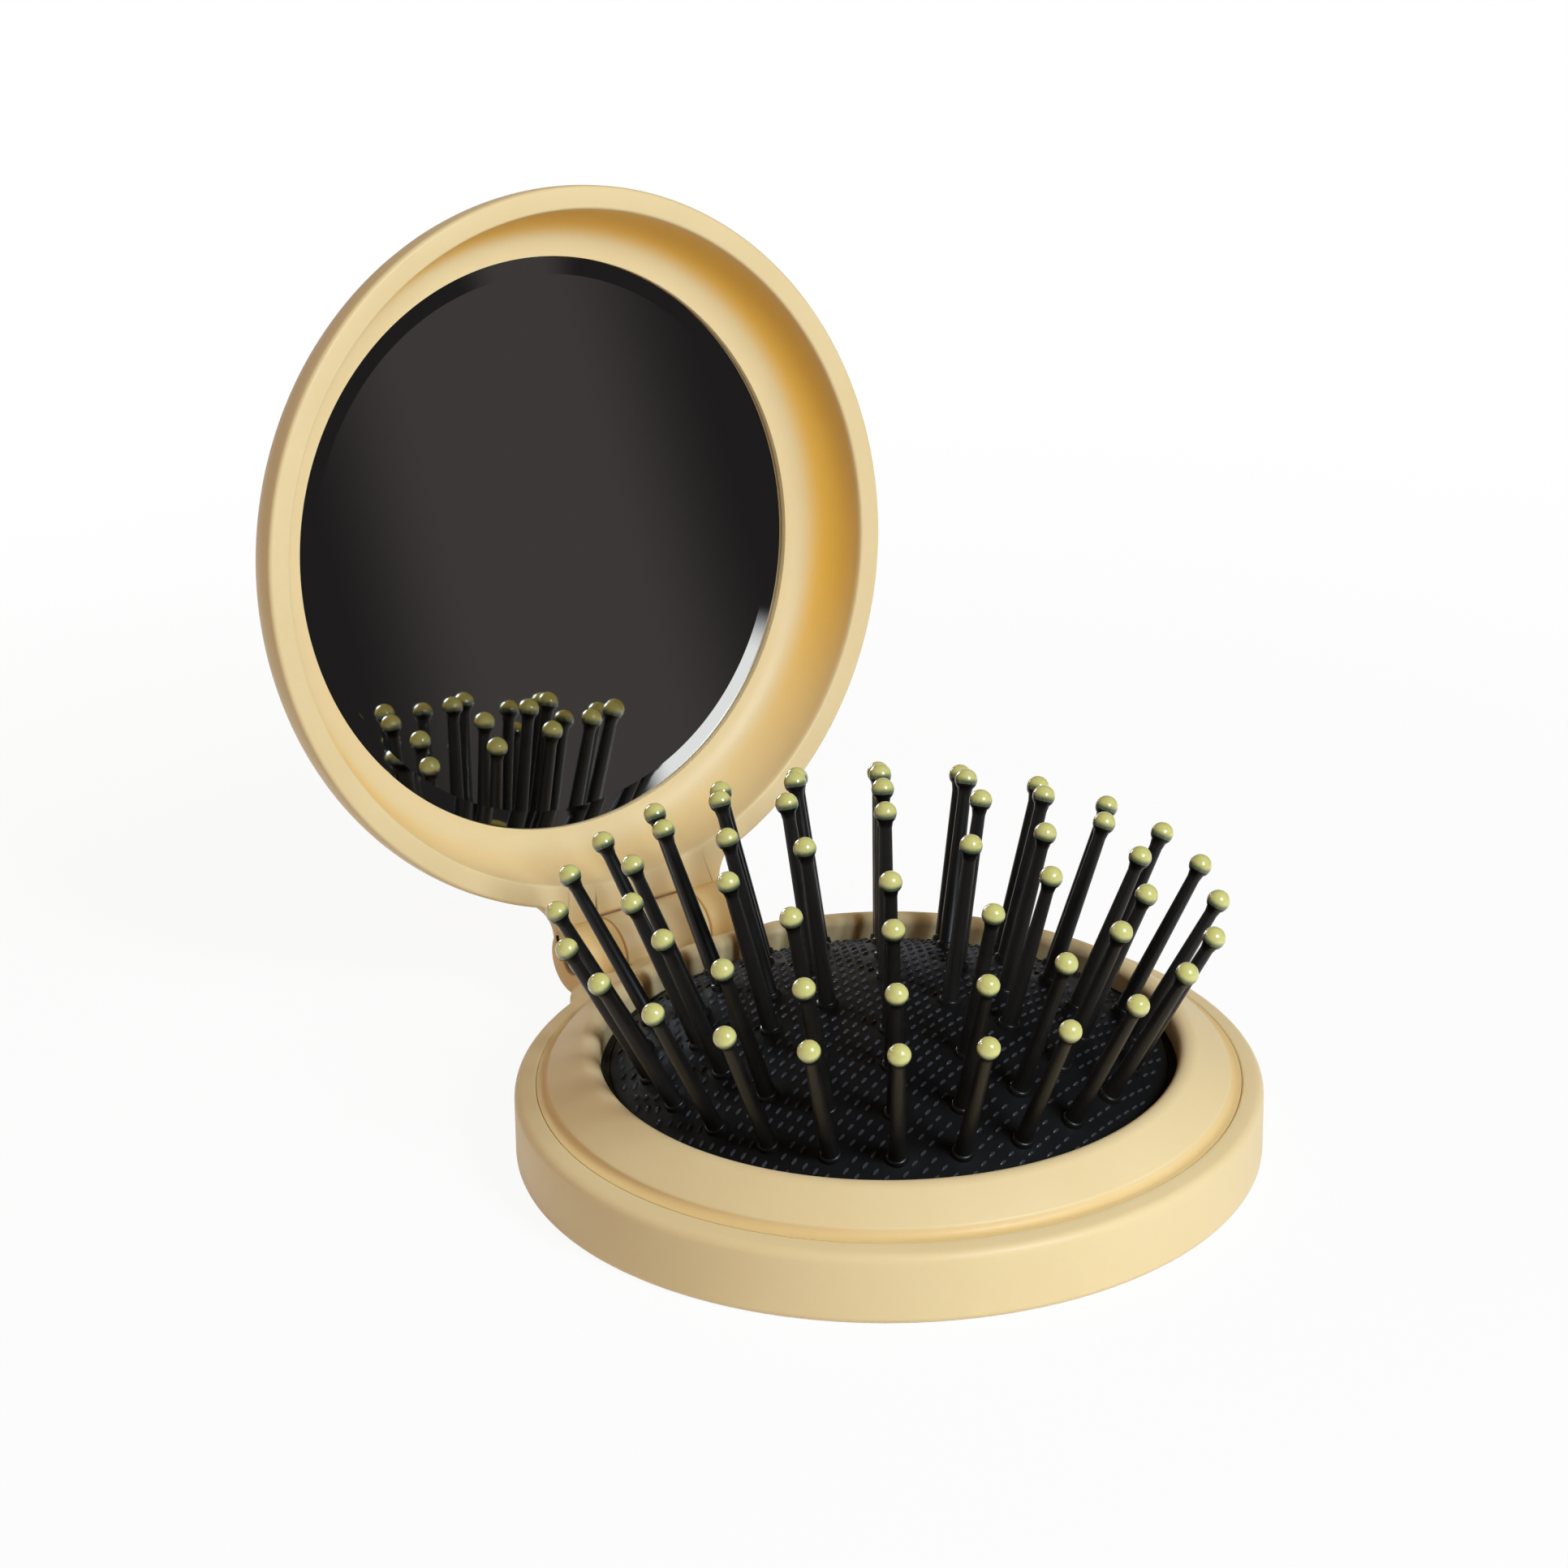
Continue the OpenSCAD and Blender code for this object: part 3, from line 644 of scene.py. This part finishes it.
neck_angle = math.degrees(math.acos(PIN_TIP_R / BALL_R))
cut_angle = math.degrees(math.asin(CAP_CUT / BALL_R))
pin_profile = np.concatenate([
    arc(0, 0, FOOT_R, -90, 10, 10),
    [FOOT_NECK],
    arc(COLLAR_R - COLLAR_ROUND, COLLAR_TOP - COLLAR_ROUND, COLLAR_ROUND, 0, 80, 4),
    [[PIN_ROOT_R, COLLAR_TOP + SHAFT_LAP], [PIN_TIP_R, PIN_L - BALL_R - BALL_NECK_H]],
    arc(0, PIN_L, BALL_R, BALL_NECK_DEG - neck_angle, -cut_angle, 7),
    [[CAP_SEAT_R, PIN_L - CAP_CUT], [0, PIN_L - CAP_CUT]],
])
tip_profile = np.concatenate([
    [[0, PIN_L - CAP_CUT], [CAP_EDGE_R, PIN_L - CAP_CUT]],
    arc(0, PIN_L, BALL_R, -cut_angle, 90, 12),
])

# Nylon from a polished mould: black, with a long soft highlight down each shaft
nylon, tree, shader = new_material("moulded_black_nylon", {
    "IOR": 1.53,
    "Specular IOR Level": 0.25,
})
black, sheen = clouded(tree, size=2.5, detail=3.0, colours=("#100f0e", "#1d1a17"), rough=(0.3, 0.42))
tree.links.new(black, shader.inputs["Base Color"])
tree.links.new(sheen, shader.inputs["Roughness"])

# The ball is capped with dipped epoxy resin, a pale yellow-green, glossy and slightly cloudy. It
# thins out to a dark green at its edge, where the mark is 0.
resin, tree, shader = new_material("dipped_epoxy_resin", {
    "IOR": 1.55,
    "Subsurface Weight": 0.3,
    "Subsurface Radius": (1.0, 0.9, 0.5),
    "Subsurface Scale": 0.5 * MM,
    "Coat Weight": 0.4,
    "Coat Roughness": 0.06,
})
tint, gloss = clouded(tree, size=1.5, detail=3.0, colours=("#cfca78", "#dcd88c"), rough=(0.16, 0.26))
height = add_node(tree, "Attribute", attribute_name="mark").outputs["Fac"]
thick = add_node(tree, "MapRange", {
    "Value": height, "From Min": 0.1, "From Max": 0.5, "To Min": 0.0, "To Max": 1.0,
}, interpolation_type="SMOOTHSTEP").outputs[0]
dipped = add_node(tree, "Mix", {0: thick, 6: linear("#4d5a41"), 7: tint}, data_type="RGBA")
tree.links.new(dipped.outputs[2], shader.inputs["Base Color"])
tree.links.new(gloss, shader.inputs["Roughness"])


def pins_and_tips(label, ring, indices, body):
    """The pins of one ring or group, and their resin caps, which ride on that body. A cap is marked
    with its height, from 0 at its edge to 1 at its top."""
    cap_height = (tip_profile[:, 1] - PIN_L + CAP_CUT) / (BALL_R + CAP_CUT)
    cap_marks = np.tile(np.repeat(cap_height, PIN_COLUMNS), len(indices))
    for kind, profile, material, slot, marks in (
        ("pins", pin_profile, nylon, "black_nylon", None),
        ("tips", tip_profile, resin, "tip_resin", cap_marks),
    ):
        shells = pin_shells(profile, ring, indices)
        piece = build(f"bristle_{kind}_{label}", shells, material, edge_deg=50, marks=marks)
        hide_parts(f"{kind}_{label}")
        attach(piece, body)


for ring in (0, 1):
    pins_and_tips(f"ring_{ring + 1}", ring, range(RING_COUNT[ring]), "carrier")
for ring, label in ((2, "mid"), (3, "outer")):
    for group in range(RING_COUNT[ring] // GROUP_SIZE):
        first = GROUP_SIZE * group - 1
        body = f"{label}_{group + 1}"
        pins_and_tips(body, ring, range(first, first + GROUP_SIZE), body)

# --- Hinge pin ---------------------------------------------------------------------------
# A drawn steel pin through the knuckles. Only its ends show, in the lid's outer knuckles.
steel, tree, shader = new_material("drawn_steel", {"Metallic": 1.0})
place = add_node(tree, "TexCoord").outputs["Object"]
drawn = add_node(tree, "Mapping", {"Vector": place, "Scale": (200, 8000, 8000)}).outputs[0]
streak = add_node(tree, "TexNoise", {"Vector": drawn, "Scale": 1.0, "Detail": 2.0}).outputs[0]
tone = add_node(tree, "Mix", {0: streak, 6: linear("#a9a9a6"), 7: linear("#c6c6c3")}, data_type="RGBA")
tree.links.new(tone.outputs[2], shader.inputs["Base Color"])
scratch = add_node(tree, "MapRange", {"Value": streak, "To Min": 0.22, "To Max": 0.42})
tree.links.new(scratch.outputs[0], shader.inputs["Roughness"])
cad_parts["hinge_pin"].material_slots[0].material = steel

# --- Lid shell ---------------------------------------------------------------------------
# The lid, moulded in cream ABS as thick as the base. A wide hollow curve leads from its rim to the
# ledge around the mirror, and a neck on it carries the two outer knuckles of the hinge.
LID_T = 10.0
OPEN_ANGLE = 103
RIM_LAND = 1.8
RIM_ROUND = 0.4
RIM_IN_ROUND = 0.3
LID_WALL_H = 1.0
SHOULDER_W = 14.4
LEDGE_DEPTH = 6.3
RECESS_END_DEG = 84
MIRROR_R = 27.1
MIRROR_SINK = 0.4
MIRROR_T = 1.5
TAPE_T = 0.3
KNUCKLE_GAP = 0.1
SLOT_GAP = 0.15
SLOT_ROUND_SHARE = 0.95
SLOT_WALL_TURN = 0.003
OUTER_KNUCKLE_EDGE = 0.3
NECK_FILLET = 4.0
NECK_SINK = 0.2
NECK_STRAIGHT = 0.9
NECK_H = 2.3
NECK_SIDE_TURN = 0.01
NECK_PAINTED_AMBER = 0.35
NECK_PAINTED_AMBER_Y = (33, 36)
RECESS_PAINTED_AMBER_START = (1.5, -1.2)
RECESS_PAINTED_AMBER_END = (-0.4, 0.6)
RECESS_FADE = 0.8
RECESS_FADE_Y = (8, 30)
RIM_IN_R = BODY_R - RIM_ROUND - RIM_LAND
POCKET_R = MIRROR_R + 0.1
LID_FLOOR_Z = LID_Z + LEDGE_DEPTH + MIRROR_SINK + MIRROR_T + TAPE_T
MIRROR_FACE_Z = LID_Z + LEDGE_DEPTH + MIRROR_SINK


def opened(shells):
    """Shells drawn on the closed lid, turned open about the hinge axis."""
    a = math.radians(-OPEN_ANGLE)
    opened_shells = []
    for points, faces in shells:
        y, z = points[:, 1] - HINGE_Y, points[:, 2] - HINGE_Z
        turned_y = HINGE_Y + y * math.cos(a) - z * math.sin(a)
        turned_z = HINGE_Z + y * math.sin(a) + z * math.cos(a)
        opened_shells.append((np.stack([points[:, 0], turned_y, turned_z], -1), faces))
    return opened_shells


recess_a = np.radians(np.linspace(0, RECESS_END_DEG, 24))
recess = np.stack([
    POCKET_R + (RIM_IN_R - POCKET_R) * np.sin(recess_a), LID_Z + LEDGE_DEPTH * np.cos(recess_a)
], -1)
# Depths from the rim along the outside: the neck's rows, close together where its back rounds off
# into the wall, then the shoulder, a quarter of an ellipse from the wall to the flat back
back_h = LID_T - LID_WALL_H
neck_rows = NECK_STRAIGHT + (NECK_H - NECK_STRAIGHT) * np.sin(np.radians(np.linspace(0, 90, 9)))
shoulder_start = math.degrees(math.asin((NECK_H - LID_WALL_H) / back_h))
shoulder_rows = LID_WALL_H + back_h * np.sin(np.radians(np.linspace(shoulder_start, 90, 25)[1:]))
outer_depth = np.concatenate([neck_rows, shoulder_rows])
rise = np.clip((outer_depth - LID_WALL_H) / back_h, 0, 1)
outer_side = np.stack([BODY_R - SHOULDER_W * (1 - np.sqrt(1 - rise ** 2)), LID_Z + outer_depth], -1)
lid_profile = np.concatenate([
    [[0, LID_FLOOR_Z], [POCKET_R, LID_FLOOR_Z]],
    recess,
    arc(RIM_IN_R + RIM_IN_ROUND, LID_Z + RIM_IN_ROUND, RIM_IN_ROUND, 195, 270, 4),
    arc(BODY_R - RIM_ROUND, LID_Z + RIM_ROUND, RIM_ROUND, -90, 0, 4),
    outer_side,
    [[0, LID_Z + LID_T]],
])
depth = lid_profile[:, 1] - LID_Z
round_off = np.clip((depth - NECK_STRAIGHT) / (NECK_H - NECK_STRAIGHT), 0, 1)
lid_share = smooth(lid_profile[:, 0], RIM_IN_R, BODY_R - RIM_ROUND) * np.sqrt(1 - round_off ** 2)

# The lid's outline in plan, a row for each depth: round the middle knuckle, out along its slot,
# across the outer knuckle, back along the neck's side, and a hollow corner into the round wall. The
# slot's walls and the neck's sides take a small turn each, so that no two points share an angle.
slot_x = MIDDLE_W / 2 + KNUCKLE_GAP
neck_x = NECK_W / 2
slot_r = KNUCKLE_R + SLOT_GAP
axis_depth = HINGE_Z - LID_Z
slot_top = SLOT_ROUND_SHARE * slot_r
slot_y = HINGE_Y - np.sqrt(slot_r ** 2 - np.minimum(depth - axis_depth, slot_top) ** 2)
fillet_x = neck_x + NECK_FILLET
fillet_y = math.sqrt((BODY_R - NECK_SINK + NECK_FILLET) ** 2 - fillet_x ** 2)
fillet_end = math.degrees(math.atan2(fillet_y, fillet_x)) + 180
fillet = arc(fillet_x, fillet_y, NECK_FILLET, 180, fillet_end, 12)
fillet_angle = math.atan2(fillet_x, fillet_y)
slot_angle = math.atan2(slot_x, HINGE_Y - slot_r)
side_angle = math.atan2(neck_x, HINGE_Y)
neck_turns = np.concatenate([
    [0, slot_angle, slot_angle + SLOT_WALL_TURN, side_angle],
    np.linspace(side_angle + NECK_SIDE_TURN, fillet_angle, len(fillet)),
])
wall_angle = np.radians(np.linspace(math.degrees(fillet_angle), 180, 121)[1:])
spread = np.linspace(neck_turns[:4], neck_turns[1:5], 6, endpoint=False, axis=1).ravel()
lid_angle = np.concatenate([spread, neck_turns[4:], wall_angle])
on_neck = lid_angle <= fillet_angle
neck_plan_x = np.interp(lid_angle, neck_turns, [0, slot_x, slot_x, neck_x, *fillet[:, 0]])
neck_plan_y = np.interp(lid_angle, neck_turns, [0, 0, HINGE_Y, HINGE_Y, *fillet[:, 1]])
in_slot = np.interp(lid_angle, neck_turns, [1, 1, 0, 0, *np.zeros(len(fillet))])
neck_side = np.stack([
    np.broadcast_to(neck_plan_x, (len(depth), len(lid_angle))),
    neck_plan_y + in_slot * slot_y[:, None],
], -1)
neck_side *= np.maximum(BODY_R / np.linalg.norm(neck_side, axis=-1, keepdims=True), 1)
round_side = BODY_R * np.stack([np.sin(lid_angle), np.cos(lid_angle)], -1)
lid_outline = np.where(on_neck[:, None], neck_side, round_side)
lid_body = walled(lid_profile, lid_share, *both_sides(lid_angle, lid_outline), BODY_R)
circle_section = arc(0, 0, KNUCKLE_R, 0, 350, 35)
outer_knuckles = [
    knuckle(slot_x, neck_x, circle_section, OUTER_KNUCKLE_EDGE),
    knuckle(-neck_x, -slot_x, circle_section, OUTER_KNUCKLE_EDGE),
]

# Marks for the painted amber, which stands in for light that comes through the thin plastic and
# stays in the recess: full on the steep part of the recess, fading towards the hinge, and slight on
# the neck and its knuckles. The painted amber's limits are measured from the pocket and from the rim.
profile_r = lid_profile[:, 0]
steep = smooth(profile_r, POCKET_R + RECESS_PAINTED_AMBER_START[0], RIM_IN_R + RECESS_PAINTED_AMBER_START[1])
steep -= smooth(profile_r, RIM_IN_R + RECESS_PAINTED_AMBER_END[0], RIM_IN_R + RECESS_PAINTED_AMBER_END[1])
steep[2 + len(recess):] = 0
hinge_side = lid_body[0][:, 1].reshape(len(lid_profile), -1)
lid_painted_amber = steep[:, None] * (1 - RECESS_FADE * smooth(hinge_side, *RECESS_FADE_Y))
lid_painted_amber += NECK_PAINTED_AMBER * smooth(hinge_side, *NECK_PAINTED_AMBER_Y)
knuckle_painted_amber = np.full(sum(len(points) for points, _ in outer_knuckles), NECK_PAINTED_AMBER)
lid = build(
    "moulded_lid", opened([lid_body, *outer_knuckles]), cream,
    marks=np.concatenate([lid_painted_amber.ravel(), knuckle_painted_amber]),
)
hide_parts("lid_shell")
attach(lid, "lid")

# --- Mirror ------------------------------------------------------------------------------
# A round of silvered glass with a narrow ground bevel, stuck into the lid with an adhesive disc.
BEVEL_W = 1.6
BEVEL_T = 0.24
mirror_profile = [
    [0, MIRROR_FACE_Z],
    [MIRROR_R - BEVEL_W, MIRROR_FACE_Z],
    [MIRROR_R, MIRROR_FACE_Z + BEVEL_T],
    [MIRROR_R, MIRROR_FACE_Z + MIRROR_T],
    [0, MIRROR_FACE_Z + MIRROR_T],
]
silver, tree, shader = new_material("silvered_glass", {
    "Metallic": 1.0,
    "Base Color": linear("#dcdedd"),
    "Roughness": 0.02,
})
mirror_shells = opened([turned(mirror_profile)])
mirror = build("silvered_mirror", mirror_shells, silver, edge_deg=8)

# The silver lies behind the glass, so the bevel works as a wedge: what shows in it is turned towards
# the mirror's middle, and its shading normals are tilted inwards by BEVEL_TURN to match. The corners
# that lie on the bevel are found by the cosine of its slope.
BEVEL_TURN = math.radians(5.2)
mesh = mirror.data
corner_normals = np.empty((len(mesh.loops), 3))
corner_vertex = np.empty(len(mesh.loops), int)
mesh_points = np.empty((len(mesh.vertices), 3))
mesh.corner_normals.foreach_get("vector", corner_normals.ravel())
mesh.loops.foreach_get("vertex_index", corner_vertex)
mesh.vertices.foreach_get("co", mesh_points.ravel())
face_middle, back_middle = mirror_shells[0][0][[0, -1]]
facing = (face_middle - back_middle) / MIRROR_T
inwards = face_middle - mesh_points[corner_vertex] / MM
inwards -= (inwards @ facing)[:, None] * facing
inwards /= np.maximum(np.linalg.norm(inwards, axis=1, keepdims=True), 1e-6)
bevel_cos = math.cos(math.atan2(BEVEL_T, BEVEL_W))
on_bevel = np.abs(corner_normals @ facing - bevel_cos) < (1 - bevel_cos) / 2
wedge = math.cos(BEVEL_TURN) * facing + math.sin(BEVEL_TURN) * inwards
mesh.normals_split_custom_set(np.where(on_bevel[:, None], wedge, corner_normals).tolist())
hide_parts("mirror_glass")
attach(mirror, "lid")

# The disc is double-sided tape on grey foam, with fine open cells
foam, tree, shader = new_material("adhesive_foam", {"Roughness": 0.9})
tint, _ = clouded(tree, size=0.4, detail=2.0, colours=("#7c7872", "#918c85"))
tree.links.new(tint, shader.inputs["Base Color"])
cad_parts["mirror_tape"].material_slots[0].material = foam

# --- Floor, room and light ---------------------------------------------------------------
# A pale round of floor that runs to white at its edge, a low white backdrop behind the brush, and a
# dim room in front of it, which the mirror shows. A soft key lamp hangs in front, and a small lamp
# behind, to the left, picks out the tips.
def shown(tree, shaded, seen_colour, share):
    """Mixes a plain light of the seen colour into what the camera, reflections and glass see of a
    surface, by share. Light that bounces off it keeps its shaded colour."""
    path = add_node(tree, "LightPath").outputs
    seen = path["Is Camera Ray"]
    for ray in (path["Is Glossy Ray"], path["Is Transmission Ray"]):
        seen = add_node(tree, "Math", {0: seen, 1: ray}, operation="ADD", use_clamp=True).outputs[0]
    factor = add_node(tree, "Math", {0: seen, 1: share}, operation="MULTIPLY").outputs[0]
    plain = add_node(tree, "Emission", {"Color": seen_colour, "Strength": 1.0}).outputs[0]
    return add_node(tree, "MixShader", {0: factor, 1: shaded, 2: plain}).outputs[0]


# The floor's sizes are in metres. In its middle FLOOR_SHARE of what shows is plain white, and from
# FADE_END_R outwards all of it.
WHITE = (1, 1, 1, 1)
FLOOR_R = 0.2
FLOOR_SHARE = 0.93
FADE_START_R = 0.09
FADE_END_R = 0.19
turn = np.linspace(0, 2 * np.pi, 96, endpoint=False)
floor_rim = np.stack([FLOOR_R * np.cos(turn), FLOOR_R * np.sin(turn), 0 * turn], -1)
floor_mesh = bpy.data.meshes.new("floor")
floor_mesh.from_pydata(floor_rim.tolist(), [], [tuple(range(len(turn)))])
floor = bpy.data.objects.new("floor", floor_mesh)
scene.collection.objects.link(floor)
floor_paint, tree, shader = new_material("pale_floor", {
    "Base Color": (0.86, 0.86, 0.86, 1),
    "Roughness": 0.9,
    "Specular IOR Level": 0.1,
})
place = add_node(tree, "TexCoord").outputs["Object"]
from_centre = add_node(tree, "VectorMath", {0: place}, operation="LENGTH").outputs["Value"]
share = add_node(tree, "MapRange", {
    "Value": from_centre, "From Min": FADE_START_R, "From Max": FADE_END_R,
    "To Min": FLOOR_SHARE, "To Max": 1.0,
}).outputs[0]
floor_surface = tree.nodes["Material Output"].inputs["Surface"]
tree.links.new(shown(tree, shader.outputs[0], WHITE, share), floor_surface)
floor_mesh.materials.append(floor_paint)

# The room's warm light comes from all round. The camera sees the room plain white. What the brush
# mirrors of it is white low down behind, and a dim brown elsewhere, with a paler stretch where the
# mirror looks and a white card that its bevel catches.
BACKDROP_SIDE = (-0.5, 0.866, 0)
BACKDROP_EDGE = (-0.25, 0.35)
BACKDROP_TOP = (0.24, 0.12)
ACROSS_MIRROR = (0.8616, 0.5075, 0)
STRETCH_EDGE = (0.012, 0.036)
CARD_SIDE = (0.43, -0.896, 0.111)
CARD_EDGE = (math.cos(math.radians(3.0)), math.cos(math.radians(1.8)))
AMBIENT = 0.26


def past_edge(tree, side, edge, either_way=False):
    """How far a direction is past a soft edge in the room: 0 where its component along the side is
    the edge's first value and 1 at the second. Either way, the component's sign doesn't count."""
    toward = add_node(tree, "TexCoord").outputs["Generated"]
    product = add_node(tree, "VectorMath", {0: toward, 1: side}, operation="DOT_PRODUCT")
    component = product.outputs["Value"]
    if either_way:
        component = add_node(tree, "Math", {0: component}, operation="ABSOLUTE").outputs[0]
    return add_node(tree, "MapRange", {
        "Value": component, "From Min": edge[0], "From Max": edge[1], "To Min": 0.0, "To Max": 1.0,
    }, interpolation_type="SMOOTHSTEP").outputs[0]


world = bpy.data.worlds.new("studio")
world.use_nodes = True
scene.world = world
tree = world.node_tree
behind = past_edge(tree, BACKDROP_SIDE, BACKDROP_EDGE)
low = past_edge(tree, (0, 0, 1), BACKDROP_TOP)
backdrop = add_node(tree, "Math", {0: behind, 1: low}, operation="MULTIPLY").outputs[0]
card = past_edge(tree, CARD_SIDE, CARD_EDGE)
white_part = add_node(tree, "Math", {0: backdrop, 1: card}, operation="MAXIMUM").outputs[0]
off_stretch = past_edge(tree, ACROSS_MIRROR, STRETCH_EDGE, either_way=True)
dim = add_node(tree, "Mix", {
    0: off_stretch, 6: linear("#464140"), 7: linear("#242222"),
}, data_type="RGBA").outputs[2]
room = add_node(tree, "Mix", {0: white_part, 6: dim, 7: WHITE}, data_type="RGBA").outputs[2]
camera_ray = add_node(tree, "LightPath").outputs["Is Camera Ray"]
seen_room = add_node(tree, "Mix", {0: camera_ray, 6: room, 7: WHITE}, data_type="RGBA").outputs[2]
ambient = tree.nodes["Background"]
ambient.inputs["Color"].default_value = linear("#ffd3a0")
ambient.inputs["Strength"].default_value = AMBIENT
world_surface = tree.nodes["World Output"].inputs["Surface"]
tree.links.new(shown(tree, ambient.outputs[0], seen_room, 1.0), world_surface)


def area_light(name, place, size, watts, tint):
    """A square soft light at a place in metres, aimed at the middle of the brush."""
    light = bpy.data.lights.new(name, "AREA")
    light.size = size
    light.energy = watts
    light.color = linear(tint)[:3]
    lamp = bpy.data.objects.new(name, light)
    scene.collection.objects.link(lamp)
    lamp.location = place
    lamp.rotation_euler = (CAMERA_TARGET - Vector(place)).to_track_quat("-Z", "Y").to_euler()


KEY_PLACE = (0.052, -0.597, 0.48)
KEY_SIZE = 0.25
KEY_WATTS = 5.85
BACK_PLACE = (-0.343, 0.571, 0.363)
BACK_SIZE = 0.16
BACK_WATTS = 0.5
area_light("key", KEY_PLACE, KEY_SIZE, KEY_WATTS, "#e0f0ff")
area_light("back_light", BACK_PLACE, BACK_SIZE, BACK_WATTS, "#ffffff")
